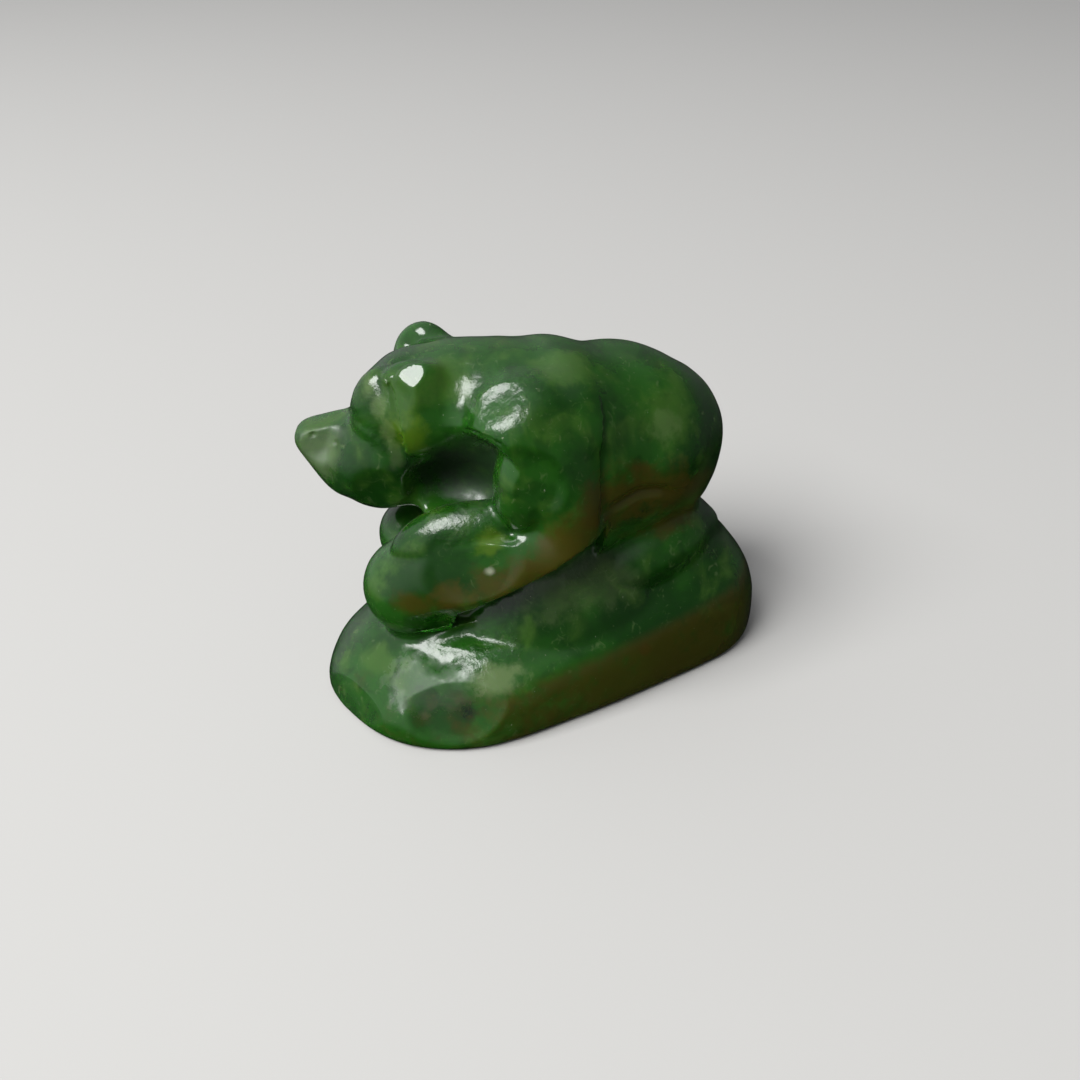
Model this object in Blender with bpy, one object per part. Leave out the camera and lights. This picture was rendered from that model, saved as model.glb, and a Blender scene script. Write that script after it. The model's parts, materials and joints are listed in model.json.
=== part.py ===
"""A small bear lying on a rock, carved from one pebble of dark green jade.

The frame is in metres, +Z up. The nose points along -Y, the bear's left side faces +X, and the
origin is under the middle of the carving, on the flat underside that it stands on. Sizes below are
in millimetres, and each form is brought to metres when it becomes an object.
"""
import math

import bmesh
import bpy
from mathutils import Matrix, Vector

MM = 0.001
NODE_NAME = "jade_bear_carving"

# The rock: its plan, as corners of a rounded slab, and the height of the wall at each corner.
ROCK_CORNERS = [
    (-2.3, -23.3, 3.2),
    (6.6, -20.8, 4.0),
    (11.8, -14.0, 5.0),
    (13.0, -4.0, 7.2),
    (12.9, 8.0, 8.6),
    (11.6, 18.8, 8.4),
    (5.5, 24.2, 7.6),
    (-5.0, 24.4, 7.6),
    (-11.0, 19.6, 8.2),
    (-12.7, 8.0, 8.6),
    (-12.6, -6.0, 7.0),
    (-11.0, -16.8, 5.0),
    (-7.8, -21.4, 3.6),
]
ROCK_TOP_FRONT = 8.0
ROCK_TOP_REAR = 13.6
ROCK_HALF_LENGTH = 18.0
# The section of the rock: how far in from the plan, and how far up, first as a share of the wall's
# height and then as a share of the rise from the wall to the top.
ROCK_WALL = [(0.6, 0.0), (0.1, 0.12), (0.0, 0.4), (0.2, 0.72), (0.7, 0.95)]
ROCK_SLOPE = [(1.5, 0.18), (3.1, 0.52), (5.0, 0.86), (7.2, 1.0)]

# The trunk, from the neck to the rump: place along Y, middle in X, top, bottom and half width.
TRUNK = [
    (-6.0, -2.0, 35.6, 17.0, 6.6),
    (-2.5, -0.6, 36.0, 13.0, 8.8),
    (1.5, -0.2, 35.9, 12.0, 9.7),
    (6.0, -0.2, 34.2, 13.0, 9.5),
    (10.0, -0.4, 33.2, 13.6, 9.9),
    (13.6, -0.6, 31.0, 13.6, 9.1),
]
TRUNK_SQUARENESS = 2.3
# How deep the domes at its two ends are, as a share of the end's half size.
TRUNK_CAPS = (0.8, 0.68)
SHOULDER_BLADE = ((3.0, 0.2, 29.0), (6.3, 6.4, 6.3))
# The stone that is left between belly and rock: middle, then half size across and in height.
BELLY = [((-0.5, -7.0, 14.0), 4.6, 6.5), ((-0.4, 4.0, 15.0), 6.6, 8.0), ((-0.4, 14.0, 16.0), 6.0, 7.0)]

# The head turns to the bear's right: its own frame runs forward, to its left side, and up.
HEAD_YAW = math.radians(28.0)
HEAD_ROOT = Vector((-3.2, -3.0, 0.0))

CRANIUM = ((7.6, 0.0, 27.8), (6.6, 6.0, 7.0))
BROW = ((9.8, 0.0, 29.2), (4.5, 4.8, 4.3))
JAW = ((9.4, 0.0, 23.8), (6.6, 4.9, 4.6))
CHEEK = ((11.3, 3.1, 24.0), (4.9, 2.9, 4.5))
NECK = [((7.5, 0.3, 29.8), 6.0, 5.6), ((2.5, 0.6, 30.0), 6.6, 6.2), ((-3.0, 1.0, 28.4), 7.6, 7.6)]

# The muzzle, a wedge with a slanting front: forward, half width, bottom and top of each end.
MUZZLE_ROOT = (7.0, 4.8, 19.6, 29.0)
MUZZLE_MIDDLE = (15.6, 4.0, 20.2, 28.2)
MUZZLE_TIP_FORWARD = 21.0
MUZZLE_TIP_SLANT = 4.2
MUZZLE_TIP = (3.3, 20.4, 27.1)
MUZZLE_EDGE = 1.0

EAR = ((7.0, 4.7, 31.5), (3.7, 2.0, 4.7))
EAR_TURN = math.radians(18.0)

# The legs: middle of each station, then half size across and half size in height.
NEAR_UPPER_ARM = [
    ((3.4, -3.8, 29.6), 5.8, 6.2),
    ((5.4, -2.8, 27.0), 5.0, 5.4),
    ((7.2, -1.5, 22.8), 3.9, 3.8),
    ((7.8, -1.6, 18.4), 3.6, 3.8),
]
NEAR_FOREARM = [
    ((7.5, -1.9, 18.0), 4.0, 4.0),
    ((4.0, -8.0, 16.2), 4.6, 5.4),
    ((0.4, -12.6, 13.9), 5.1, 5.8),
    ((-0.8, -14.2, 12.9), 5.1, 5.2),
]
FAR_UPPER_ARM = [
    ((-4.2, -2.6, 29.5), 6.0, 6.4),
    ((-6.4, -2.4, 26.5), 5.0, 5.8),
    ((-7.9, -1.6, 22.0), 4.2, 4.6),
    ((-8.4, -1.0, 18.4), 3.8, 4.0),
]
FAR_FOREARM = [
    ((-8.4, -1.0, 18.4), 4.0, 4.0),
    ((-8.4, -6.5, 15.8), 4.0, 4.0),
    ((-7.8, -10.6, 14.0), 4.0, 4.0),
]
THIGH = ((3.4, 10.2, 24.0), (6.6, 7.2, 6.8))
HIND_FOOT = [((6.8, 3.4, 12.4), 3.0, 3.0), ((6.4, 10.6, 13.6), 3.8, 3.6), ((4.0, 16.2, 13.0), 3.4, 3.4)]

# What is cut away. A hollow is an ellipsoid, a groove is a round path with its own half sizes.
CHEST_HOLLOW = ((5.2, -11.0, 24.8), (6.4, 6.3, 6.3))
THROAT_HOLLOW = ((2.2, -11.2, 23.2), (5.4, 6.0, 3.8))
HOLLOW_FLOOR = 20.7
TEMPLE_GROOVE = [
    ((13.2, 3.1, 33.2), 1.1, 1.1),
    ((12.3, 5.2, 31.2), 1.5, 1.5),
    ((11.2, 6.2, 28.4), 1.5, 1.5),
    ((9.6, 6.6, 25.8), 1.2, 1.2),
]
EAR_HOLLOW = ((9.0, 2.9, 34.6), (1.7, 1.1, 1.5))
ARM_EDGE_GROOVE = [
    ((8.6, 4.0, 32.0), 0.8, 0.8),
    ((10.3, 3.6, 28.0), 1.2, 1.2),
    ((10.8, 3.4, 23.0), 1.3, 1.3),
    ((10.8, 3.0, 18.0), 1.2, 1.2),
]
# The groove under flank and rump, from the left elbow to the middle of the back.
RUMP_GROOVE = [
    ((11.3, 2.4, 17.0), 1.1, 1.1),
    ((10.6, 5.6, 20.0), 1.2, 1.2),
    ((10.2, 9.4, 19.8), 1.2, 1.2),
    ((8.6, 14.0, 17.8), 1.2, 1.2),
    ((5.4, 18.6, 15.9), 1.2, 1.2),
    ((0.0, 20.6, 15.3), 1.2, 1.2),
]
FOREARM_GROOVE = [
    ((10.8, 2.6, 14.6), 1.3, 1.3),
    ((9.2, -2.6, 12.2), 1.2, 1.4),
    ((6.9, -7.2, 10.5), 1.0, 1.1),
]


# How finely the forms are fused, how far they are then polished, and how many facets are left.
VOXEL = 0.45
CUTTER_VOXEL = 0.3
FIRST_POLISH = 6
LAST_POLISH = 3
FACETS = 9000
FOOT_CUT = 0.25

JADE_COLOUR = (0.030, 0.090, 0.022, 1.0)
JADE_ROUGHNESS = 0.16
JADE_IOR = 1.61


def from_head(point):
    """Turns a place in the head's frame (forward, left, up) into one in the carving's frame."""
    forward = Vector((-math.sin(HEAD_YAW), -math.cos(HEAD_YAW), 0.0))
    left = Vector((math.cos(HEAD_YAW), -math.sin(HEAD_YAW), 0.0))
    return HEAD_ROOT + forward * point[0] + left * point[1] + Vector((0.0, 0.0, point[2]))


def new_object(name, bm):
    """Makes an object in metres from a closed form in millimetres."""
    bmesh.ops.recalc_face_normals(bm, faces=bm.faces)
    bmesh.ops.triangulate(bm, faces=bm.faces)
    bmesh.ops.scale(bm, vec=(MM, MM, MM), verts=bm.verts)
    mesh = bpy.data.meshes.new(name)
    bm.to_mesh(mesh)
    bm.free()
    obj = bpy.data.objects.new(name, mesh)
    bpy.context.collection.objects.link(obj)
    return obj


def ball(name, centre, radii, turn=Matrix.Identity(4)):
    """An ellipsoid, its radii along X, Y and Z before it is turned."""
    bm = bmesh.new()
    place = Matrix.Translation(centre) @ turn @ Matrix.Diagonal((*radii, 1.0))
    bmesh.ops.create_uvsphere(bm, u_segments=40, v_segments=24, radius=1.0, matrix=place)
    return new_object(name, bm)


def head_turn():
    """The turn that lays an ellipsoid's radii along forward, left and up of the head."""
    forward = from_head((1.0, 0.0, 0.0)) - from_head((0.0, 0.0, 0.0))
    left = from_head((0.0, 1.0, 0.0)) - from_head((0.0, 0.0, 0.0))
    up = Vector((0.0, 0.0, 1.0))
    return Matrix((forward, left, up)).transposed().to_4x4()


def smooth_between(values, position):
    """Reads a smooth curve through evenly spaced values; each value is a tuple of numbers."""
    last = len(values) - 1
    start = min(int(position), last - 1)
    t = position - start
    p1, p2 = values[start], values[start + 1]
    p0 = values[start - 1] if start > 0 else [2 * a - b for a, b in zip(p1, p2)]
    p3 = values[start + 2] if start + 2 <= last else [2 * b - a for a, b in zip(p1, p2)]
    out = []
    for a, b, c, d in zip(p0, p1, p2, p3):
        out.append(
            b
            + 0.5 * t * (c - a)
            + t * t * (a - 2.5 * b + 2.0 * c - 0.5 * d)
            + t * t * t * (1.5 * (b - c) + 0.5 * (d - a))
        )
    return out


def rounded_ring(bm, middle, across, up, half_across, half_up, squareness, sides=32):
    """Adds one closed ring of a loft: an ellipse, or a squarer oval where squareness is over 2."""
    ring = []
    for i in range(sides):
        angle = 2.0 * math.pi * i / sides
        c, s = math.cos(angle), math.sin(angle)
        x = math.copysign(abs(c) ** (2.0 / squareness), c) * half_across
        z = math.copysign(abs(s) ** (2.0 / squareness), s) * half_up
        ring.append(bm.verts.new(middle + across * x + up * z))
    return [bm.edges.new((ring[i], ring[(i + 1) % sides])) for i in range(sides)]


def loft(name, stations, side, squareness=2.0, steps=5, caps=(1.0, 1.0)):
    """A rounded limb through its stations, closed by a dome at each end.

    A station is a middle point, a half width along side, and a half size square to it and to the
    path. A cap is the depth of the end's dome as a share of the end's half size.
    """
    flat = [(*middle, half_across, half_up) for middle, half_across, half_up in stations]
    count = (len(flat) - 1) * steps
    rows = [smooth_between(flat, i / steps) for i in range(count + 1)]
    middles = [Vector(row[:3]) for row in rows]
    rings = []
    for i, row in enumerate(rows):
        tangent = (middles[min(i + 1, count)] - middles[max(i - 1, 0)]).normalized()
        across = (Vector(side) - tangent * tangent.dot(Vector(side))).normalized()
        rings.append((middles[i], across, tangent.cross(across), row[3], row[4], tangent))
    dome_angles = [math.radians(a) for a in (15.0, 30.0, 45.0, 60.0, 72.0, 83.0)]
    domes = []
    for end, sign, cap in ((rings[0], -1.0, caps[0]), (rings[-1], 1.0, caps[1])):
        middle, across, up, half_across, half_up, tangent = end
        depth = cap * min(half_across, half_up) * sign
        domes.append(
            [
                (middle + tangent * depth * math.sin(a), across, up, half_across * math.cos(a),
                 half_up * math.cos(a), tangent)
                for a in dome_angles
            ]
        )
    rings = domes[0][::-1] + rings + domes[1]
    bm = bmesh.new()
    loops = [rounded_ring(bm, *ring[:5], squareness) for ring in rings]
    for low, high in zip(loops, loops[1:]):
        bmesh.ops.bridge_loops(bm, edges=low + high)
    for end in (loops[0], loops[-1]):
        bmesh.ops.contextual_create(bm, geom=end)
    return new_object(name, bm)


def rock():
    """A slab with a plan of soft corners, a steep wall, and a top that climbs to the rear."""
    steps = 6
    corners = ROCK_CORNERS[-1:] + ROCK_CORNERS + ROCK_CORNERS[:2]
    count = len(ROCK_CORNERS) * steps
    plan = [smooth_between(corners, 1.0 + i / steps) for i in range(count)]
    middle = Vector((0.0, 0.0))
    bm = bmesh.new()
    loops = []
    for rows, on_slope in ((ROCK_WALL, False), (ROCK_SLOPE, True)):
        for inset, share in rows:
            ring = []
            for x, y, wall in plan:
                edge = Vector((x, y))
                place = edge + (middle - edge).normalized() * inset
                along = (place.y + ROCK_HALF_LENGTH) / (2.0 * ROCK_HALF_LENGTH)
                top = ROCK_TOP_FRONT + (ROCK_TOP_REAR - ROCK_TOP_FRONT) * along
                height = wall + (top - wall) * share if on_slope else wall * share
                ring.append(bm.verts.new((*place, height)))
            loops.append([bm.edges.new((ring[i], ring[(i + 1) % count])) for i in range(count)])
    for low, high in zip(loops, loops[1:]):
        bmesh.ops.bridge_loops(bm, edges=low + high)
    for end in (loops[0], loops[-1]):
        bmesh.ops.contextual_create(bm, geom=end)
    return new_object("rock", bm)


def trunk():
    """Shoulders, waist and rump from the same few stations, and the stone under the belly."""
    stations = [
        ((x, y, 0.5 * (top + bottom)), half_width, 0.5 * (top - bottom))
        for y, x, top, bottom, half_width in TRUNK
    ]
    parts = [
        loft("trunk", stations, (1.0, 0.0, 0.0), TRUNK_SQUARENESS, caps=TRUNK_CAPS),
        loft("belly", BELLY, (1.0, 0.0, 0.0), caps=(0.4, 0.4)),
    ]
    (x, y, z), radii = SHOULDER_BLADE
    for side in (1.0, -1.0):
        parts.append(ball("shoulder_blade", (x * side, y, z), radii))
    return parts


def muzzle():
    """A wedge whose front face slants back from the nose to the chin."""
    half_tip, low_tip, high_tip = MUZZLE_TIP
    root, root_half, root_low, root_high = MUZZLE_ROOT
    mid, mid_half, mid_low, mid_high = MUZZLE_MIDDLE
    tip = MUZZLE_TIP_FORWARD
    outlines = [
        [(root, root_low), (root, root_high), root_half],
        [(mid, mid_low), (mid, mid_high), mid_half],
        [(tip - MUZZLE_TIP_SLANT, low_tip), (tip, high_tip), half_tip],
    ]
    bm = bmesh.new()
    loops = []
    for low, high, half in outlines:
        corners = [(*low, half), (*low, -half), (*high, -half * 0.8), (*high, half * 0.8)]
        ring = [bm.verts.new(from_head((f, side, up))) for f, up, side in corners]
        loops.append([bm.edges.new((ring[i], ring[(i + 1) % 4])) for i in range(4)])
    for low, high in zip(loops, loops[1:]):
        bmesh.ops.bridge_loops(bm, edges=low + high)
    for end in (loops[0], loops[-1]):
        bmesh.ops.contextual_create(bm, geom=end)
    bmesh.ops.bevel(bm, geom=bm.edges[:], offset=MUZZLE_EDGE, segments=3, affect="EDGES")
    return new_object("muzzle", bm)


def mirrored(form, side):
    """A form of the head for one side of it: side is 1 for the left and -1 for the right."""
    (forward, left, up), radii = form
    return (forward, left * side, up), radii


def head():
    """Skull, jaw, cheeks, muzzle and ears, in the head's own frame."""
    turn = head_turn()
    parts = [
        ball("cranium", from_head(CRANIUM[0]), CRANIUM[1], turn),
        ball("brow", from_head(BROW[0]), BROW[1], turn),
        ball("jaw", from_head(JAW[0]), JAW[1], turn),
        muzzle(),
        loft("neck", [(from_head(m), a, u) for m, a, u in NECK], (1.0, 0.0, 0.0)),
    ]
    for side in (1.0, -1.0):
        centre, radii = mirrored(CHEEK, side)
        parts.append(ball("cheek", from_head(centre), radii, turn))
        centre, radii = mirrored(EAR, side)
        splay = Matrix.Rotation(EAR_TURN * side, 4, "Z")
        parts.append(ball("ear", from_head(centre), radii, splay @ turn))
    return parts


def legs():
    """The two forelegs, each an upper arm and a forearm with its paw, the thighs and hind feet."""
    parts = [
        loft("near_upper_arm", NEAR_UPPER_ARM, (1.0, 0.0, 0.0)),
        loft("near_forearm", NEAR_FOREARM, (1.0, 0.0, 0.0)),
        loft("far_upper_arm", FAR_UPPER_ARM, (1.0, 0.0, 0.0)),
        loft("far_forearm", FAR_FOREARM, (1.0, 0.0, 0.0)),
    ]
    for side in (1.0, -1.0):
        (x, y, z), radii = THIGH
        parts.append(ball("thigh", (x * side, y, z), radii))
        foot = [((x * side, y, z), across, up) for (x, y, z), across, up in HIND_FOOT]
        parts.append(loft("hind_foot", foot, (1.0, 0.0, 0.0)))
    return parts


def cutters():
    """The hollows and grooves that part head, legs and rock from each other."""
    hollow = joined("hollow", [ball("chest", *CHEST_HOLLOW), ball("throat", *THROAT_HOLLOW)])
    fuse(hollow, CUTTER_VOXEL, 4)
    level(hollow, HOLLOW_FLOOR)
    right_half = [((-x, y, z), a, b) for (x, y, z), a, b in RUMP_GROOVE[-2::-1]]
    parts = [
        hollow,
        loft("forearm_groove", FOREARM_GROOVE, (1.0, 0.0, 0.0)),
        loft("rump_groove", RUMP_GROOVE + right_half, (0.0, 0.0, 1.0)),
    ]
    for side in (1.0, -1.0):
        arm_edge = [((x * side, y, z), a, b) for (x, y, z), a, b in ARM_EDGE_GROOVE]
        parts.append(loft("arm_edge_groove", arm_edge, (1.0, 0.0, 0.0)))
        temple = [(from_head((f, left * side, up)), a, b) for (f, left, up), a, b in TEMPLE_GROOVE]
        parts.append(loft("temple", temple, (1.0, 0.0, 0.0)))
        centre, radii = mirrored(EAR_HOLLOW, side)
        parts.append(ball("ear_hollow", from_head(centre), radii, head_turn()))
    return parts


def joined(name, parts):
    """One object that holds the meshes of all the parts; the parts are removed."""
    bm = bmesh.new()
    for part in parts:
        bm.from_mesh(part.data)
        bpy.data.objects.remove(part)
    mesh = bpy.data.meshes.new(name)
    bm.to_mesh(mesh)
    bm.free()
    obj = bpy.data.objects.new(name, mesh)
    bpy.context.collection.objects.link(obj)
    return obj


def settle(obj):
    """Replaces the object's mesh by what its modifiers make of it."""
    depsgraph = bpy.context.evaluated_depsgraph_get()
    obj.data = bpy.data.meshes.new_from_object(obj.evaluated_get(depsgraph))
    obj.modifiers.clear()


def fuse(obj, voxel, smoothing):
    """Makes one skin around all that overlaps in the object, and softens it."""
    remesh = obj.modifiers.new("one skin", "REMESH")
    remesh.mode = "VOXEL"
    remesh.voxel_size = voxel * MM
    smooth = obj.modifiers.new("polish", "SMOOTH")
    smooth.factor = 0.5
    smooth.iterations = smoothing
    settle(obj)


def level(obj, height):
    """Cuts off what the object has below a height, and closes the cut with a flat face."""
    bm = bmesh.new()
    bm.from_mesh(obj.data)
    geom = bm.verts[:] + bm.edges[:] + bm.faces[:]
    cut = bmesh.ops.bisect_plane(
        bm, geom=geom, plane_co=(0.0, 0.0, height * MM), plane_no=(0.0, 0.0, -1.0), clear_outer=True
    )
    rim = [part for part in cut["geom_cut"] if isinstance(part, bmesh.types.BMEdge)]
    bmesh.ops.holes_fill(bm, edges=rim)
    bm.to_mesh(obj.data)
    bm.free()


def carve(obj, tools):
    """Cuts the tools, fused into one, out of the object."""
    cutter = joined("cutter", tools)
    cutter.hide_render = True
    cutter.display_type = "WIRE"
    fuse(cutter, CUTTER_VOXEL, 2)
    cut = obj.modifiers.new("carve", "BOOLEAN")
    cut.operation = "DIFFERENCE"
    cut.object = cutter
    settle(obj)
    bpy.data.objects.remove(cutter)


def reduce_facets(obj, facets):
    """Brings the skin down to a number of triangles, keeping its shape."""
    present = sum(len(face.vertices) - 2 for face in obj.data.polygons)
    fewer = obj.modifiers.new("fewer facets", "DECIMATE")
    fewer.ratio = facets / present
    fewer.use_collapse_triangulate = True
    settle(obj)


def centre_on_ground(obj):
    """Brings the middle of the carving's box over the origin and its underside to the ground."""
    mesh = obj.data
    low = [min(v.co[axis] for v in mesh.vertices) for axis in range(3)]
    high = [max(v.co[axis] for v in mesh.vertices) for axis in range(3)]
    mesh.transform(
        Matrix.Translation((-0.5 * (low[0] + high[0]), -0.5 * (low[1] + high[1]), -low[2]))
    )


def jade():
    """Polished dark green nephrite."""
    material = bpy.data.materials.new("jade")
    material.use_nodes = True
    shader = material.node_tree.nodes["Principled BSDF"]
    shader.inputs["Base Color"].default_value = JADE_COLOUR
    shader.inputs["Roughness"].default_value = JADE_ROUGHNESS
    shader.inputs["Metallic"].default_value = 0.0
    shader.inputs["IOR"].default_value = JADE_IOR
    return material


def rough_out(voxel=VOXEL, first_polish=FIRST_POLISH, last_polish=LAST_POLISH):
    """The whole carving as one fine skin."""
    carving = joined(NODE_NAME, [rock(), *trunk(), *head(), *legs()])
    fuse(carving, voxel, first_polish)
    carve(carving, cutters())
    fuse(carving, voxel, last_polish)
    return carving


def build():
    """The finished solid: fine skin, fewer facets, flat underside, centred, in its material."""
    carving = rough_out()
    reduce_facets(carving, FACETS)
    level(carving, FOOT_CUT)
    centre_on_ground(carving)
    carving.data.shade_smooth()
    carving.data.materials.append(jade())
    return carving


for old in list(bpy.data.objects):
    bpy.data.objects.remove(old)

if __name__ == "__main__":
    build()
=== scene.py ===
# %% [markdown]
# # A jade bear on its rock
# A pocket carving, about 48 mm long: a bear lies on a rounded rock, its head turned and its
# forelegs drawn in under the chin. Bear and rock are one pebble of dark green nephrite, so the
# visible model is one piece as well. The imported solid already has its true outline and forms.
# This lesson keeps them, and adds what a close look shows: finer carving, the marks of the tools,
# and the stone itself.

import json
import math

import bpy
import numpy as np
from mathutils import Euler, Matrix, Vector, noise
from mathutils.bvhtree import BVHTree

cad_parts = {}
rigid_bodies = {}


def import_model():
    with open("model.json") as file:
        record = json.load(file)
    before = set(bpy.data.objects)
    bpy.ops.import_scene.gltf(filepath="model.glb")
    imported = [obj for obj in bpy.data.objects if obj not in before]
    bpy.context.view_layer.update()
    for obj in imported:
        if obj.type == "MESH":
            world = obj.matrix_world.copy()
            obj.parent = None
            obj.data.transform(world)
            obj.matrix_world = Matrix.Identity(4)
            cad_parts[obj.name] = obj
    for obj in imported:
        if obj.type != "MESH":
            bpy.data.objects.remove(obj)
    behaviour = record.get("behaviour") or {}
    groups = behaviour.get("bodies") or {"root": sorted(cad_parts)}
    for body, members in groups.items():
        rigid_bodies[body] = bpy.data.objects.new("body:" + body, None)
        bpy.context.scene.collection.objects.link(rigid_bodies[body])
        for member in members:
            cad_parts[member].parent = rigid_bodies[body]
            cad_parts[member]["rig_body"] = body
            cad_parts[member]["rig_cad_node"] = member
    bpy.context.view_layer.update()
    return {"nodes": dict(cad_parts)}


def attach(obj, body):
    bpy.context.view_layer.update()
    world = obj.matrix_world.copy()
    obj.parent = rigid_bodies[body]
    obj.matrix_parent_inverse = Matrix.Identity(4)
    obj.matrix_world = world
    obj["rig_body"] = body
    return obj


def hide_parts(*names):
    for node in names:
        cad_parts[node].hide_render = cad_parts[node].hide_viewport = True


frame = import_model()
MM = 0.001
solid = frame["nodes"]["jade_bear_carving"]
print("solid:", len(solid.data.polygons), "facets")

# %% [markdown]
# ## The camera
# The photograph looks down at the bear's left side from about 12 cm away, a little ahead of square.
# A camera that close shows more perspective than a distant one, so its distance matters as much as
# its direction. The lens is set so that the whole square picture is 50 degrees wide.

# %% Place the camera
EYE = Vector((86.96, -50.56, 80.85)) * MM
AIM = Vector((0.76, -0.86, 13.75)) * MM

bpy.ops.object.camera_add(location=EYE, rotation=(AIM - EYE).to_track_quat("-Z", "Y").to_euler())
camera = bpy.context.object
camera.data.sensor_width = 36.0
camera.data.lens = 38.3
camera.data.clip_start = 0.005
bpy.context.scene.camera = camera
print("camera", round((AIM - EYE).length / MM), "mm from the carving")

# %% [markdown]
# ## Floor and light
# Dark polished stone is mostly seen by what it mirrors. One large soft lamp at the upper left
# puts the bright patches on ear, shoulder and rock. The room is pale towards that lamp, darker on
# the camera's side and darkest below, so the stone keeps deep greens between its grey sheens. The
# floor is plain, pale and matt, and stays out of the stone's mirror, as if the carving were held
# up in the air.

# %% Lay the floor
FLOOR_SIZE = 1600.0 * MM
PALE_GREY = (0.44, 0.435, 0.42, 1.0)

bpy.ops.mesh.primitive_plane_add(size=FLOOR_SIZE, location=(0.0, 0.0, 0.0))
floor = bpy.context.object
floor.name = "floor"
paint = bpy.data.materials.new("pale_floor")
paint.use_nodes = True
coat = paint.node_tree.nodes["Principled BSDF"]
coat.inputs["Base Color"].default_value = PALE_GREY
coat.inputs["Roughness"].default_value = 0.9
coat.inputs["Specular IOR Level"].default_value = 0.1
floor.data.materials.append(paint)
floor.visible_glossy = False

# %% Light the scene
def soft_lamp(name, place, width, height, power):
    """A rectangular lamp that faces the carving from a place in millimetres."""
    spot = Vector(place) * MM
    turn = (AIM - spot).to_track_quat("-Z", "Y").to_euler()
    bpy.ops.object.light_add(type="AREA", location=spot, rotation=turn)
    lamp = bpy.context.object
    lamp.name = name
    lamp.data.shape = "RECTANGLE"
    lamp.data.size = width * MM
    lamp.data.size_y = height * MM
    lamp.data.energy = power
    return lamp


soft_lamp("window_lamp", (60.0, -520.0, 660.0), width=560.0, height=460.0, power=11.5)

# %% Paint the room round it
BRIGHT_SIDE = Vector((-0.4, -0.68, 0.6)).normalized()
room = bpy.data.worlds.new("pale_room")
room.use_nodes = True
sky = room.node_tree
outlook = sky.nodes.new("ShaderNodeTexCoord")
towards = sky.nodes.new("ShaderNodeVectorMath")
towards.operation = "DOT_PRODUCT"
towards.inputs[1].default_value = BRIGHT_SIDE
WALL_RANGE = (("From Min", -0.2), ("From Max", 0.85), ("To Min", 0.10), ("To Max", 0.72))
GROUND_RANGE = (("From Min", -0.45), ("From Max", 0.0), ("To Min", 0.12), ("To Max", 1.0))


def eased(tree, settings):
    """A Map Range node with soft ends."""
    made = tree.nodes.new("ShaderNodeMapRange")
    made.interpolation_type = "SMOOTHSTEP"
    for name, number in settings:
        made.inputs[name].default_value = number
    return made


wall = eased(sky, WALL_RANGE)
sky.links.new(outlook.outputs["Generated"], towards.inputs[0])
sky.links.new(towards.outputs["Value"], wall.inputs["Value"])
parts = sky.nodes.new("ShaderNodeSeparateXYZ")
ground = eased(sky, GROUND_RANGE)
dimmed = sky.nodes.new("ShaderNodeMath")
dimmed.operation = "MULTIPLY"
sky.links.new(outlook.outputs["Generated"], parts.inputs["Vector"])
sky.links.new(parts.outputs["Z"], ground.inputs["Value"])
sky.links.new(wall.outputs["Result"], dimmed.inputs[0])
sky.links.new(ground.outputs["Result"], dimmed.inputs[1])
sky.links.new(dimmed.outputs["Value"], sky.nodes["Background"].inputs["Strength"])
sky.nodes["Background"].inputs["Color"].default_value = (0.95, 0.96, 1.0, 1.0)
bpy.context.scene.world = room
bpy.context.scene.view_settings.view_transform = "Standard"

# %% [markdown]
# ## The stone's form
# The solid's facets are about a millimetre across, which shows in a mirror finish. One could model
# the bear again from nothing, but then solid and surface would part. A copy of the solid is
# merged, wrapped in a much finer even skin by a voxel remesh, and polished by smoothing until the
# facets are gone.

# %% Helpers for working by hand
def only(obj):
    """Selects one object alone and makes it the active one."""
    bpy.ops.object.select_all(action="DESELECT")
    obj.select_set(True)
    bpy.context.view_layer.objects.active = obj
    return obj


def finish_with(obj, kind, **settings):
    """Adds a modifier to an object and applies it."""
    only(obj)
    step = obj.modifiers.new(kind.lower(), kind)
    for name, value in settings.items():
        setattr(step, name, value)
    bpy.ops.object.modifier_apply(modifier=step.name)
    return obj


def polish(obj, rounds, factor=0.5):
    """Rubs the whole surface smooth."""
    return finish_with(obj, "SMOOTH", factor=factor, iterations=rounds)


# %% Copy the solid and refine its skin
only(solid)
bpy.ops.object.duplicate()
bear = bpy.context.object
bear.name = "jade_bear_on_rock"
bear.parent = None
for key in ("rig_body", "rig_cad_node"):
    del bear[key]
bpy.ops.object.mode_set(mode="EDIT")
bpy.ops.mesh.select_all(action="SELECT")
bpy.ops.mesh.remove_doubles(threshold=1e-6)
bpy.ops.object.mode_set(mode="OBJECT")
finish_with(bear, "REMESH", mode="VOXEL", voxel_size=0.28 * MM)
polish(bear, 10)
print("skin:", len(bear.data.polygons), "faces")

# %% [markdown]
# ## Forms that the solid leaves plain
# The near ear is a leaf with a sharp front edge, the temple is full up to its foot, the foreleg
# has a full upper side and root, and the rock rises as an apron under the belly. Each starts as a
# sphere, drawn out and turned as a lump of clay would be, and is pressed into the stone. The head
# is turned 28 degrees to the bear's right, so its lumps are placed forward, to the left and up
# from the foot of the neck.

# %% Lumps in the head's own directions
HEAD_FOOT = Vector((-2.44, -3.86, -0.25))
HEAD_FRAME = Matrix.Translation(HEAD_FOOT) @ Matrix.Rotation(math.radians(-118.0), 4, "Z")
MODEL_FRAME = Matrix()
SLOPE = ((2.0, 1.6, 2.0), (11.0, 16.0, 17.0))


def on_head(forward, left, up):
    """A place given in the head's directions, in millimetres of the model."""
    return HEAD_FRAME @ Vector((forward, left, up))


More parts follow.
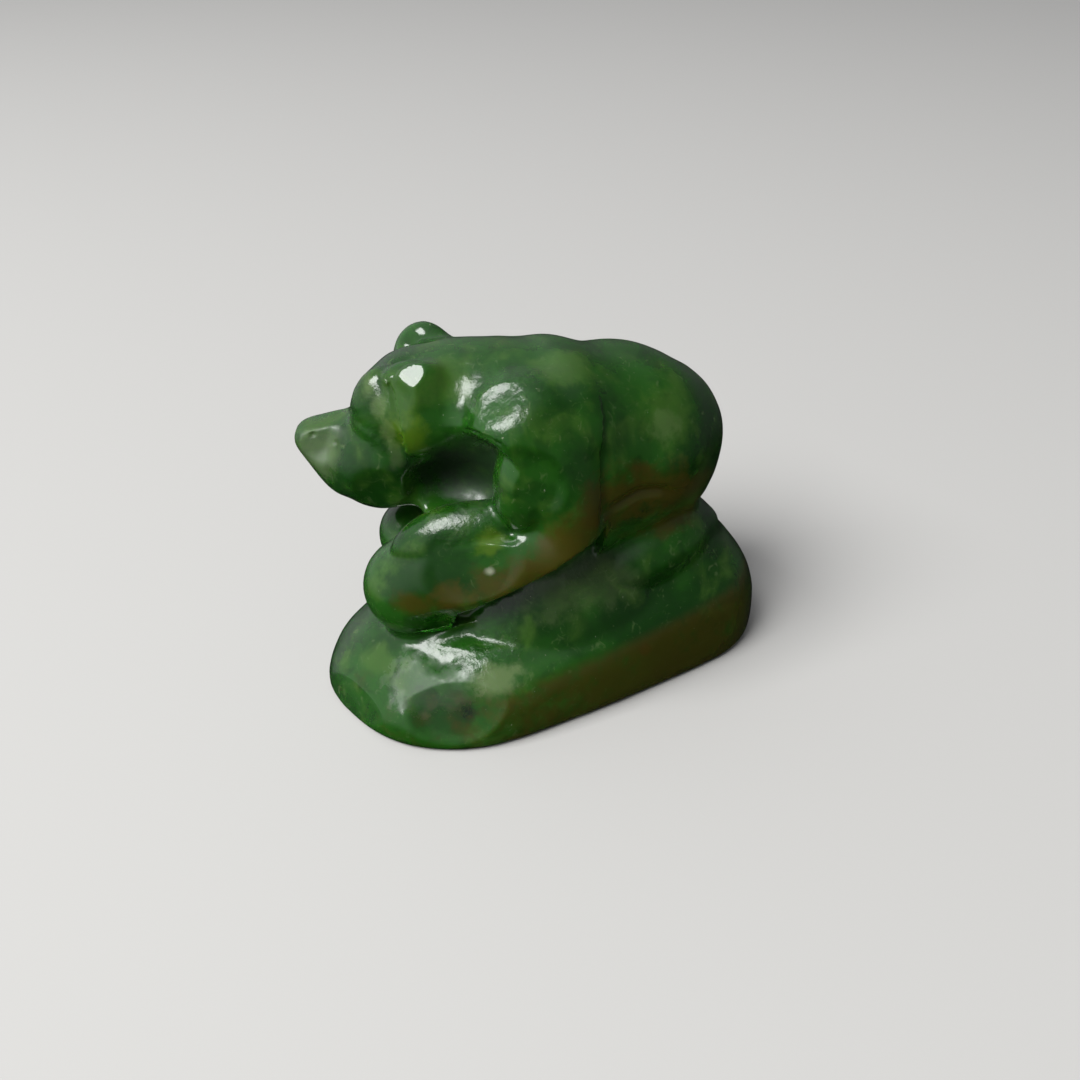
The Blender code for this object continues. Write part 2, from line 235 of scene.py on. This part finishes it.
def lump(name, place, radii, turn=(0.0, 0.0, 0.0), frame_of=HEAD_FRAME):
    """A sphere drawn out to three radii and turned, in millimetres and degrees."""
    bpy.ops.object.select_all(action="DESELECT")
    bpy.ops.mesh.primitive_uv_sphere_add(segments=64, ring_count=40, radius=1.0)
    form = bpy.context.object
    form.name = name
    lean = Euler([math.radians(angle) for angle in turn]).to_matrix().to_4x4()
    form.matrix_world = (Matrix.Scale(MM, 4) @ frame_of @ Matrix.Translation(place) @ lean
                         @ Matrix.Diagonal((*radii, 1.0)))
    bpy.ops.object.transform_apply(location=True, rotation=True, scale=True)
    return form


def slice_off(form, place, facing):
    """Cuts a form flat at a plane and closes it, leaving what lies behind the plane."""
    only(form)
    bpy.ops.object.mode_set(mode="EDIT")
    bpy.ops.mesh.select_all(action="SELECT")
    bpy.ops.mesh.bisect(plane_co=Vector(place) * MM, plane_no=facing, use_fill=True,
                        clear_outer=True)
    bpy.ops.object.mode_set(mode="OBJECT")
    return form


# %% Press in the ear, the temple, the foreleg and the rock's apron
near_ear = lump("near_ear", (7.8, 4.4, 31.1), (4.1, 2.4, 4.6), turn=(20.0, 8.0, 0.0))
slice_off(near_ear, on_head(9.7, 6.0, 31.2), HEAD_FRAME.to_3x3() @ Vector((1.0, 0.05, -0.27)))
temple = lump("temple", (10.4, 2.5, 29.4), (3.7, 2.6, 5.2))
apron = lump("apron", *SLOPE, frame_of=MODEL_FRAME)
slice_off(apron, (0.0, 0.0, 0.6), (0.0, 0.0, -1.0))
forearm = lump("forearm_top", (3.3, -11.4, 19.1), (2.9, 6.8, 3.6), turn=(16.0, 0.0, -26.0),
               frame_of=MODEL_FRAME)
inner_arm = lump("inner_arm", (6.6, -6.4, 25.0), (3.1, 2.6, 4.8), frame_of=MODEL_FRAME)
bpy.ops.object.select_all(action="DESELECT")
for form in (near_ear, temple, apron, forearm, inner_arm, bear):
    form.select_set(True)
bpy.context.view_layer.objects.active = bear
bpy.ops.object.join()
finish_with(bear, "REMESH", mode="VOXEL", voxel_size=0.2 * MM)
polish(bear, 3)
print("with the added forms:", len(bear.data.polygons), "faces")

# %% [markdown]
# ## The undercut
# Under the foreleg the carver took the stone back to the rock's slope, so the leg throws a dark
# line of shadow. A groove drawn into the surface would stay shallow. The cut here is a block with
# its upper side bent along the leg's lower edge, and the slope's own form is taken out of the block
# first, so that the cut stops at the slope.

# %% Shape the block and cut
def undercut(name, edge, reach, floor_level, lean):
    """A block below an edge line: reach is its depth in x, lean its upper side's fall."""
    bpy.ops.object.select_all(action="DESELECT")
    bpy.ops.mesh.primitive_cube_add(size=1.0)
    block = bpy.context.object
    block.name = name
    bpy.ops.object.mode_set(mode="EDIT")
    bpy.ops.mesh.select_all(action="SELECT")
    bpy.ops.mesh.subdivide(number_cuts=15)
    bpy.ops.object.mode_set(mode="OBJECT")
    outside, thinnest = 1.5, 0.3
    across, along, up = zip(*edge)
    for v in block.data.vertices:
        y = along[0] + (v.co.y + 0.5) * (along[-1] - along[0])
        x, z = np.interp(y, along, across), np.interp(y, along, up)
        inward = (0.5 - v.co.x) * (reach + outside)
        top = z - lean * max(0.0, inward - outside)
        below = (0.5 - v.co.z) * max(top - floor_level, thinnest)
        v.co = Vector((x + outside - inward, y, top - below)) * MM
    return block


def take_away(tool):
    """Cuts the stone with a tool, and puts the tool away."""
    finish_with(bear, "BOOLEAN", operation="DIFFERENCE", solver="MANIFOLD", object=tool)
    bpy.data.objects.remove(tool)


FORELEG_EDGE = [(7.0, -13.6, 12.9), (8.3, -11.8, 13.9), (10.2, -7.9, 16.3), (11.3, -5.3, 17.9),
                (11.9, -3.5, 19.2), (11.9, -1.2, 20.2), (11.4, 1.2, 21.0)]
cut = undercut("foreleg_cut", FORELEG_EDGE, reach=3.6, floor_level=10.4, lean=0.55)
slope = lump("slope", *SLOPE, frame_of=MODEL_FRAME)
finish_with(cut, "BOOLEAN", operation="DIFFERENCE", solver="MANIFOLD", object=slope)
bpy.data.objects.remove(slope)
take_away(cut)
finish_with(bear, "REMESH", mode="VOXEL", voxel_size=0.2 * MM)
polish(bear, 2)
print("undercut:", len(bear.data.polygons), "faces")

# %% [markdown]
# ## Grinding, scoring and rubbing
# What is left is hand work at the wheel: small flat facets, sharp furrows and edges, soft dents.
# Sculpt brushes need a mouse, so three small tools in code move the fine skin's points instead.
# `grind` takes down whatever stands above a flat plane. `score` follows a line over the surface and
# sinks it, on both sides or on one, which leaves a step. `soften` smooths one place.

# %% The three tools
def skin_points(stone):
    """The skin's points and the directions they face, as arrays in millimetres."""
    count = len(stone.data.vertices)
    places, facing = np.empty(count * 3), np.empty(count * 3)
    stone.data.vertices.foreach_get("co", places)
    stone.data.vertices.foreach_get("normal", facing)
    return places.reshape(-1, 3) / MM, facing.reshape(-1, 3)


def set_points(stone, places):
    """Writes the points back."""
    stone.data.vertices.foreach_set("co", (places * MM).ravel())
    stone.data.update()


def unit(arrow):
    arrow = np.array(arrow, dtype=float)
    return arrow / np.linalg.norm(arrow)


THICKEST, LEAST_FACING = 4.0, 0.15
PEAK_SHARE, PLACE_SHARE = 0.6, 0.12


def grind(stone, place, facing, reach, depth, fade=0.35, from_peak=True):
    """Rubs a facet that lies depth below the highest point within reach.

    Without from_peak it lies depth below the skin at the place itself. Fade is the share of the
    reach over which the facet runs out.
    """
    places, out = skin_points(stone)
    facing = unit(facing)
    offset = places - np.array(place)
    height = offset @ facing
    away = np.linalg.norm(offset - np.outer(height, facing), axis=1) / reach
    near = (np.abs(height) < THICKEST) & (away < 1.0) & (out @ facing > LEAST_FACING)
    looked_at = PEAK_SHARE if from_peak else PLACE_SHARE
    level = height[near & (away < looked_at)].max() - depth
    hold = np.clip((1.0 - away) / fade, 0.0, 1.0)
    hold = hold * hold * (3.0 - 2.0 * hold)
    drop = np.where(near & (height > level), (height - level) * hold, 0.0)
    set_points(stone, places - np.outer(drop, facing))
    touched = int((drop > 0.01).sum())
    print("ground off up to", round(float(drop.max()), 2), "mm over", touched, "points")


def laid_on(stone, line, closer=0.25):
    """A line of places, drawn finer and laid onto the skin."""
    tree = BVHTree.FromObject(stone, bpy.context.evaluated_depsgraph_get())
    line = [Vector(place) for place in line]
    finer = []
    for a, b in zip(line, line[1:]):
        steps = max(1, int((b - a).length / closer))
        finer += [a.lerp(b, k / steps) for k in range(steps)]
    finer.append(line[-1])
    return np.array([tuple(tree.find_nearest(place * MM)[0] / MM) for place in finer])


def score(stone, line, width, depth, lower=None, ends=0.15):
    """Sinks a furrow along a line. With lower, an arrow, only that side sinks, as a step."""
    places, out = skin_points(stone)
    path = laid_on(stone, line)
    reached = np.full(len(places), 1e9)
    part = np.zeros(len(places))
    side = np.zeros(len(places))
    above = (places > path.min(axis=0) - width).all(axis=1)
    below = (places < path.max(axis=0) + width).all(axis=1)
    index = np.nonzero(above & below)[0]
    for k, (a, b) in enumerate(zip(path, path[1:])):
        run = b - a
        share = np.clip((places[index] - a) @ run / (run @ run), 0.0, 1.0)
        offset = places[index] - a - np.outer(share, run)
        far = np.linalg.norm(offset, axis=1)
        better = far < reached[index]
        hit = index[better]
        reached[hit] = far[better]
        part[hit] = (k + share[better]) / (len(path) - 1)
        if lower is not None:
            side[hit] = offset[better] @ unit(lower)
    taper = np.clip(np.minimum(part, 1.0 - part) / ends, 0.0, 1.0)
    profile = np.clip(1.0 - reached / width, 0.0, 1.0)
    if lower is not None:
        profile = np.where(side > 0.0, profile, 0.0)
    drop = depth * profile * taper
    set_points(stone, places - out * drop[:, None])
    print("scored", len(path), "steps")


def soften(stone, place, reach, rounds):
    """Rubs one round place smooth."""
    places, _ = skin_points(stone)
    away = np.linalg.norm(places - np.array(place), axis=1) / reach
    group = stone.vertex_groups.new(name="rubbed")
    for step in range(1, 11):
        inside = np.nonzero((away < 1.1 - step * 0.1) & (away >= 1.0 - step * 0.1))[0]
        group.add(inside.tolist(), min(1.0, step / 4.0), "REPLACE")
    finish_with(stone, "SMOOTH", factor=0.5, iterations=rounds, vertex_group="rubbed")
    stone.vertex_groups.clear()


# %% [markdown]
# The wheel leaves flat places. Those that face half way between lamp and eye light up, as on ear,
# shoulder and ledge, and the others, on cheek, arm and rock, stay dark beside them.

# %% Facets
def head_way(forward, left, up):
    """A direction given in the head's directions."""
    return tuple(HEAD_FRAME.to_3x3() @ Vector((forward, left, up)))


HALF_WAY = (0.433, -0.549, 0.714)
# The hollow, then the snout, the cheek and the temple.
soften(bear, (1.6, -8.2, 27.0), 6.2, 160)
grind(bear, on_head(18.1, 1.8, 27.4), head_way(0.05, 0.95, 0.30), 3.8, 0.4, fade=0.5,
      from_peak=False)
soften(bear, on_head(18.1, 1.8, 27.4), 3.4, 15)
grind(bear, on_head(11.6, 5.0, 23.6), head_way(0.05, 0.985, -0.17), 4.2, 0.5, fade=0.2)
grind(bear, on_head(11.9, 3.4, 31.4), head_way(0.05, 0.90, 0.44), 5.0, 1.15, fade=0.5)
# The corner between brow and snout, and the place in front of the ear.
soften(bear, (-5.2, -18.4, 27.2), 3.6, 160)
soften(bear, (-2.9, -15.6, 31.0), 2.6, 120)
# The ear's top, the shoulder, the arm's outer face and the forearm.
grind(bear, on_head(7.8, 5.9, 34.6), HALF_WAY, 3.2, 0.4, from_peak=False)
grind(bear, (3.4, -7.4, 34.3), HALF_WAY, 5.2, 0.3, fade=0.9, from_peak=False)
grind(bear, (9.0, -7.4, 26.5), (0.88, -0.42, 0.12), 4.4, 0.3, from_peak=False)
grind(bear, (7.0, -12.0, 18.4), (0.786, -0.557, 0.27), 5.4, 0.8)
# The rock's front, its front corner and the ledge under the foreleg.
grind(bear, (1.0, -20.4, 4.6), (0.154, -0.940, 0.303), 7.0, 0.55, fade=0.15)
grind(bear, (9.4, -15.0, 5.6), (0.74, -0.52, 0.43), 6.5, 1.1)
grind(bear, (5.6, -14.4, 8.5), HALF_WAY, 3.8, 0.12, fade=0.7, from_peak=False)

# %% Edges and furrows
EAR_FRONT = [(-3.5, -14.8, 34.6), (-2.1, -14.8, 33.1), (-1.0, -14.7, 30.5), (-0.6, -14.4, 28.1),
             (-1.3, -14.5, 26.3)]
TEMPLE_RIDGE = [(-8.3, -16.6, 30.3), (-5.7, -17.0, 28.8), (-3.6, -16.3, 27.8), (-2.3, -15.1, 26.1)]
NECK = [(-1.6, -7.6, 35.3), (-0.6, -8.3, 35.1), (1.8, -9.6, 32.7), (2.6, -10.4, 30.4)]
HOLLOW = [(2.2, -10.6, 30.2), (5.8, -10.0, 31.3), (7.7, -9.0, 31.0), (9.0, -8.1, 29.5)]
ARM_REAR = [(7.8, 1.4, 33.1), (9.9, 0.5, 28.6), (10.7, 0.2, 23.7), (11.6, -0.5, 20.6)]
RUMP = [(11.1, -0.1, 21.8), (10.1, 2.8, 22.3), (10.0, 5.1, 22.8), (10.3, 7.4, 22.3),
        (9.6, 10.6, 20.6)]
score(bear, EAR_FRONT, 1.9, 0.45, lower=head_way(1.0, 0.0, 0.25))
score(bear, TEMPLE_RIDGE, 0.7, -0.12)
score(bear, NECK, 2.4, 0.25)
score(bear, HOLLOW, 1.4, 0.3, lower=(-0.6, -0.7, -0.4), ends=0.3)
score(bear, ARM_REAR, 1.6, 0.4, lower=(0.0, 1.0, 0.0))
score(bear, RUMP, 0.9, 0.45, ends=0.3)

# %% Two pits on the snout
for place in ((-9.3, -20.7, 27.2), (-7.5, -19.5, 26.9)):
    score(bear, [place, Vector(place) + Vector((0.2, 0.1, -0.5))], 0.4, 0.22)

# %% [markdown]
# A hand-held stone never comes out true: the surface keeps low waves a millimetre or two long, and
# shorter ones where the wheel was pressed hard. They are what breaks up each reflected light.

# %% Leave the waves of hand polishing
WAVES = [(2.4, 0.035), (1.1, 0.012)]
PRESSED = [((4.4, -7.2, 34.2), 5.0), ((6.4, -12.8, 8.6), 5.5), ((-4.6, -16.0, 29.4), 3.4),
           ((4.4, -9.0, 20.6), 4.4)]
FINE_LENGTH, FINE_HEIGHT = 0.7, 0.055
FINE_SHIFT = Vector((7.0, 3.0, 1.0))
places, out = skin_points(bear)
lift = np.zeros(len(places))
for length, height in WAVES:
    lift += [height * noise.noise(Vector(place) / length) for place in places]
rough = np.zeros(len(places))
for place, reach in PRESSED:
    away = np.linalg.norm(places - np.array(place), axis=1) / reach
    rough = np.maximum(rough, np.clip(1.3 - away, 0.0, 1.0))
fine = np.array([noise.noise(Vector(place) / FINE_LENGTH + FINE_SHIFT) for place in places])
lift += FINE_HEIGHT * rough * fine - 0.02
lift *= np.clip(places[:, 2] / 0.8, 0.0, 1.0)
set_points(bear, places + out * lift[:, None])
polish(bear, 1)
print("waves up to", round(float(np.abs(lift).max()), 3), "mm")

# %% Thin the mesh where it is flat, and set the underside level
TRIANGLES = 190000.0
finish_with(bear, "DECIMATE", ratio=min(1.0, TRIANGLES / (2.0 * len(bear.data.polygons))))
places, _ = skin_points(bear)
places[:, 2] = np.maximum(places[:, 2], 0.0)
set_points(bear, places)
print("carved:", len(bear.data.polygons), "faces")

# %% Shade the piece smooth
only(bear)
bpy.ops.object.shade_smooth()

# %% [markdown]
# ## The jade
# Nephrite is never one green: clouds of deeper and yellower green lie in it, with fine mottling,
# pale fibres, a few dark grains, and russet skin low on the pebble. A photograph wrapped round the
# bear would be simple, but would fit one side only. Here the colours are built from noise in the
# stone's own space, so they run through every side, and from patches set at places in millimetres.
# Some patches are painted light and shade: painted shade and dark reflections in the hollow, on
# cheek, forearm and the rock's corner, a painted glow where thin stone lets light through, and a
# painted warm reflection over the russet skin low on the pebble.

# %% A patch at a place, as a node group
def new_link(tree, start, end):
    tree.links.new(start, end)


def node(tree, kind, **settings):
    """Adds a node and sets its properties."""
    made = tree.nodes.new(kind)
    for name, setting in settings.items():
        setattr(made, name, setting)
    return made


def value(target, name, number):
    target.inputs[name].default_value = number


patch = bpy.data.node_groups.new("patch_at_a_place", "ShaderNodeTree")
for name in ("Position", "Place", "Stretch"):
    patch.interface.new_socket(name, in_out="INPUT", socket_type="NodeSocketVector")
patch.interface.new_socket("Wobble", in_out="INPUT", socket_type="NodeSocketFloat")
patch.interface.new_socket("Mask", in_out="OUTPUT", socket_type="NodeSocketFloat")
entry, leave = node(patch, "NodeGroupInput"), node(patch, "NodeGroupOutput")
offset = node(patch, "ShaderNodeVectorMath", operation="SUBTRACT")
shrunk = node(patch, "ShaderNodeVectorMath", operation="DIVIDE")
far = node(patch, "ShaderNodeVectorMath", operation="LENGTH")
ragged = node(patch, "ShaderNodeTexNoise")
value(ragged, "Scale", 480.0)
value(ragged, "Detail", 8.0)
value(ragged, "Roughness", 0.62)
moved = node(patch, "ShaderNodeMath", operation="MULTIPLY_ADD")
fade = node(patch, "ShaderNodeMapRange", interpolation_type="SMOOTHSTEP")
for name, number in (("From Min", 2.35), ("From Max", 1.5), ("To Min", 0.0), ("To Max", 1.0)):
    value(fade, name, number)
new_link(patch, entry.outputs["Position"], offset.inputs[0])
new_link(patch, entry.outputs["Place"], offset.inputs[1])
new_link(patch, offset.outputs["Vector"], shrunk.inputs[0])
new_link(patch, entry.outputs["Stretch"], shrunk.inputs[1])
new_link(patch, shrunk.outputs["Vector"], far.inputs[0])
new_link(patch, entry.outputs["Position"], ragged.inputs["Vector"])
new_link(patch, ragged.outputs["Fac"], moved.inputs[0])
new_link(patch, entry.outputs["Wobble"], moved.inputs[1])
new_link(patch, far.outputs["Value"], moved.inputs[2])
new_link(patch, moved.outputs["Value"], fade.inputs["Value"])
new_link(patch, fade.outputs["Result"], leave.inputs["Mask"])
print("patch group:", len(patch.nodes), "nodes")

# %% Lay the stone's colours over each other
jade = bpy.data.materials.new("polished_jade")
jade.use_nodes = True
tree = jade.node_tree
shader = tree.nodes["Principled BSDF"]
where = node(tree, "ShaderNodeTexCoord").outputs["Object"]
# DEEP and INK are the stone's own dark greens and also painted shade; GLOW is painted light; PALE
# is also painted on the snout as light in thin stone; OLIVE is the pebble's russet skin and also a
# painted warm reflection.
DEEP = (0.004, 0.030, 0.002, 1.0)
LEAF = (0.010, 0.060, 0.004, 1.0)
MOSS = (0.034, 0.088, 0.010, 1.0)
PALE = (0.100, 0.150, 0.055, 1.0)
GLOW = (0.045, 0.100, 0.004, 1.0)
OLIVE = (0.040, 0.034, 0.003, 1.0)
RUSSET = (0.045, 0.012, 0.003, 1.0)
INK = (0.003, 0.010, 0.003, 1.0)
CHALK = (0.26, 0.28, 0.20, 1.0)


def clouds(scale, detail, low, high, distort=0.0):
    """Noise in the stone's space, spread from 0 to 1 between two of its levels."""
    noise_node = node(tree, "ShaderNodeTexNoise")
    value(noise_node, "Scale", scale)
    value(noise_node, "Detail", detail)
    value(noise_node, "Distortion", distort)
    new_link(tree, where, noise_node.inputs["Vector"])
    spread = node(tree, "ShaderNodeMapRange", interpolation_type="SMOOTHSTEP")
    value(spread, "From Min", low)
    value(spread, "From Max", high)
    new_link(tree, noise_node.outputs["Fac"], spread.inputs["Value"])
    return spread.outputs["Result"]


def times(first, second):
    """The product of two masks, or of a mask and a number."""
    made = node(tree, "ShaderNodeMath", operation="MULTIPLY")
    new_link(tree, first, made.inputs[0])
    if isinstance(second, float):
        made.inputs[1].default_value = second
    else:
        new_link(tree, second, made.inputs[1])
    return made.outputs["Value"]


def laid_over(under, colour, mask):
    """One colour laid over what is there, where the mask says."""
    mix = node(tree, "ShaderNodeMix", data_type="RGBA")
    if isinstance(under, tuple):
        mix.inputs["A"].default_value = under
    else:
        new_link(tree, under, mix.inputs["A"])
    mix.inputs["B"].default_value = colour
    new_link(tree, mask, mix.inputs["Factor"])
    return mix.outputs["Result"]


def patch_mask(place, stretch, wobble=2.2):
    """The mask of one patch, its place and half sizes in millimetres."""
    spot = node(tree, "ShaderNodeGroup", node_tree=patch)
    value(spot, "Place", Vector(place) * MM)
    value(spot, "Stretch", Vector(stretch) * MM)
    value(spot, "Wobble", wobble)
    new_link(tree, where, spot.inputs["Position"])
    return spot.outputs["Mask"]


colour = laid_over(DEEP, LEAF, clouds(110.0, 4.0, 0.36, 0.56))
colour = laid_over(colour, MOSS, times(clouds(190.0, 5.0, 0.50, 0.70, 0.8), 0.75))
colour = laid_over(colour, DEEP, times(clouds(420.0, 6.0, 0.52, 0.66, 0.4), 0.55))
colour = laid_over(colour, PALE, times(clouds(900.0, 8.0, 0.58, 0.78, 1.5), 0.35))
colour = laid_over(colour, CHALK, times(clouds(2600.0, 2.0, 0.74, 0.80), 0.5))
PATCHES = [
    # the ear and the temple beside it
    (MOSS, 0.75, (-0.6, -10.4, 33.6), (2.6, 3.0, 2.6)),
    (MOSS, 0.6, (-1.8, -14.4, 32.4), (2.6, 2.2, 3.0)),
    # the rump and the back
    (MOSS, 0.65, (8.6, 8.8, 29.6), (3.2, 3.6, 4.2)),
    (PALE, 0.3, (8.9, 8.2, 28.6), (1.6, 1.8, 1.8)),
    (MOSS, 0.7, (4.3, -0.3, 35.0), (3.0, 3.4, 1.8)),
    # painted glow, as where light comes through: the ear's lower half and the forearm's root
    (GLOW, 0.9, (-0.9, -14.2, 29.3), (2.4, 2.2, 2.3)),
    (GLOW, 0.95, (7.0, -10.2, 20.2), (1.7, 1.7, 1.2)),
    # the white spot on the forearm, the rock's pale vein, its black grain and its red spot
    (CHALK, 0.9, (8.0, -10.5, 17.6), (0.5, 0.6, 0.5)),
    (PALE, 0.75, (11.0, -11.8, 6.8), (1.9, 3.0, 1.6)),
    (INK, 1.0, (10.8, -15.0, 4.0), (1.2, 1.5, 1.3)),
    (RUSSET, 0.8, (13.5, 4.2, 6.0), (0.7, 0.8, 0.8)),
    # painted light and shade: the snout painted paler, for light in the thin stone, and the cheek,
    # the hollow, the forearm, the rock's corner and the arm's inner side painted darker, as shade
    # and dark reflections
    (PALE, 0.35, (-8.2, -20.6, 25.4), (2.8, 2.6, 2.6)),
    (DEEP, 0.75, (-4.4, -18.6, 24.6), (2.4, 2.4, 2.8)),
    (INK, 0.85, (-1.8, -10.6, 25.0), (3.6, 4.4, 3.6)),
    (DEEP, 0.9, (4.6, -16.0, 16.6), (4.4, 5.0, 3.6)),
    (DEEP, 0.8, (9.0, -17.0, 3.6), (3.2, 3.6, 2.6)),
    (DEEP, 0.85, (3.0, -7.6, 25.0), (3.4, 2.8, 3.8)),
    # the rough band down the temple, and the slope
    (PALE, 0.45, (-4.7, -16.2, 33.1), (0.9, 0.8, 1.3)),
    (PALE, 0.45, (-3.3, -15.9, 31.4), (0.9, 0.8, 1.4)),
    (PALE, 0.4, (-2.4, -15.5, 29.2), (0.9, 0.8, 1.6)),
    (PALE, 0.25, (-2.1, -14.9, 26.7), (0.9, 0.8, 1.5)),
    (PALE, 0.25, (9.6, -1.0, 13.4), (4.0, 7.0, 3.0)),
]
for tint, strength, place, stretch in PATCHES:
    colour = laid_over(colour, tint, times(patch_mask(place, stretch), strength))
print("colours laid:", len(PATCHES), "patches")

# %% [markdown]
# The russet tone lies low: along the foot of the rock's wall, under the foreleg and under the rump.
# It is partly the pebble's own skin and partly a painted warm reflection from below.
# It follows height, tilted a little along the stone, with an edge that noise makes uneven.

# %% Olive skin and painted warm reflection low on the pebble
place_parts = node(tree, "ShaderNodeSeparateXYZ")
new_link(tree, where, place_parts.inputs["Vector"])


def below(level, tilt, soft):
    """A mask for what lies below a level in millimetres that rises by tilt along the stone."""
    slope_part = node(tree, "ShaderNodeMath", operation="MULTIPLY_ADD")
    slope_part.inputs[1].default_value = -tilt
    new_link(tree, place_parts.outputs["Y"], slope_part.inputs[0])
    new_link(tree, place_parts.outputs["Z"], slope_part.inputs[2])
    step = node(tree, "ShaderNodeMapRange", interpolation_type="SMOOTHSTEP")
    value(step, "From Min", (level + soft) * MM)
    value(step, "From Max", (level - soft) * MM)
    new_link(tree, slope_part.outputs["Value"], step.inputs["Value"])
    return step.outputs["Result"]


# Russet skin low on the rock's wall, with a painted warm reflection in it.
olive_skin_and_warm_reflection = times(below(7.0, 0.10, 0.7), patch_mask((9.0, 6.0, 3.0), (18.0, 22.0, 13.0)))
colour = laid_over(colour, OLIVE, times(olive_skin_and_warm_reflection, 0.8))
# Under the foreleg and the rump: painted warm reflection over the russet skin.
UNDERSIDE_SKIN_AND_REFLECTION = [((4.6, -16.0, 13.9), (1.3, 2.0, 1.0)), ((6.7, -13.4, 14.9), (1.3, 2.2, 1.0)),
              ((8.5, -10.6, 16.2), (1.4, 2.2, 1.2)), ((9.9, -7.9, 17.7), (1.5, 2.2, 1.4)),
              ((11.0, -5.4, 19.4), (1.6, 2.2, 1.6)), ((11.8, -3.0, 21.4), (1.6, 2.2, 2.0)),
              ((11.4, -0.8, 23.8), (1.4, 1.6, 2.0)), ((9.8, 3.2, 22.4), (1.4, 2.4, 2.6)),
              ((9.8, 6.6, 22.6), (1.6, 3.0, 1.8)), ((9.4, 10.4, 21.0), (1.8, 3.0, 1.6)),
              ((8.8, 10.4, 17.4), (1.8, 3.6, 0.9))]
for place, stretch in UNDERSIDE_SKIN_AND_REFLECTION:
    colour = laid_over(colour, OLIVE, times(patch_mask(place, Vector(stretch) * 1.6), 0.8))
new_link(tree, colour, shader.inputs["Base Color"])

# %% [markdown]
# The polish isn't even: the wheel left a fine orange peel on the shoulder, the forearm and the
# rock's ledge, and the temple was left rough. Hollow, snout and the rock's corner are duller. One
# roughness all over would be quicker, but then every reflected light would look alike. Masks set
# the roughness here, and the first of them a fine bump as well.

# %% Polish, and what the wheel left
ROUGH_PLACES = [((4.4, -7.2, 34.2), (4.2, 3.4, 3.4)), ((6.4, -11.8, 8.8), (4.6, 5.6, 1.6)),
                ((-3.6, -15.9, 30.4), (1.9, 1.4, 3.8)), ((4.4, -11.4, 21.4), (2.6, 5.2, 1.5)),
                ((9.6, -0.6, 13.6), (1.8, 2.4, 2.2))]
MATT_PLACES = [((0.6, -8.6, 24.6), (5.6, 5.0, 5.0)), ((-8.8, -20.2, 26.6), (3.4, 3.4, 3.4)),
               ((7.4, -17.2, 5.7), (5.0, 5.4, 2.3))]


def higher(first, second):
    """The higher one of two masks."""
    both = node(tree, "ShaderNodeMath", operation="MAXIMUM")
    new_link(tree, first, both.inputs[0])
    new_link(tree, second, both.inputs[1])
    return both.outputs["Value"]


def spread_to(mask, low, high):
    """A mask's 0 to 1 spread from low to high."""
    made = node(tree, "ShaderNodeMapRange")
    value(made, "To Min", low)
    value(made, "To Max", high)
    new_link(tree, mask, made.inputs["Value"])
    return made.outputs["Result"]


worn = patch_mask(*ROUGH_PLACES[0])
for place, stretch in ROUGH_PLACES[1:]:
    worn = higher(worn, patch_mask(place, stretch))
matt = patch_mask(*MATT_PLACES[0])
for place, stretch in MATT_PLACES[1:]:
    matt = higher(matt, patch_mask(place, stretch))
GLOSS, WORN_GLOSS, MATT_GLOSS = 0.14, 0.26, 0.58
gloss = higher(spread_to(worn, GLOSS, WORN_GLOSS), spread_to(matt, GLOSS, MATT_GLOSS))
new_link(tree, gloss, shader.inputs["Roughness"])
peel = node(tree, "ShaderNodeTexNoise")
value(peel, "Scale", 2200.0)
value(peel, "Detail", 4.0)
new_link(tree, where, peel.inputs["Vector"])
bump = node(tree, "ShaderNodeBump")
value(bump, "Strength", 0.9)
value(bump, "Distance", 0.08 * MM)
new_link(tree, times(peel.outputs["Fac"], spread_to(worn, 0.06, 1.0)), bump.inputs["Height"])
new_link(tree, bump.outputs["Normal"], shader.inputs["Normal"])
value(shader, "IOR", 1.61)
value(shader, "Specular IOR Level", 0.4)
value(shader, "Subsurface Weight", 0.3)
value(shader, "Subsurface Radius", (0.3, 1.0, 0.15))
value(shader, "Subsurface Scale", 1.2 * MM)
bear.data.materials.clear()
bear.data.materials.append(jade)
print("jade:", len(tree.nodes), "nodes")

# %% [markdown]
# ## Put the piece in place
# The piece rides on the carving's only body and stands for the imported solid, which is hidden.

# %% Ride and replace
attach(bear, "root")
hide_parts("jade_bear_carving")
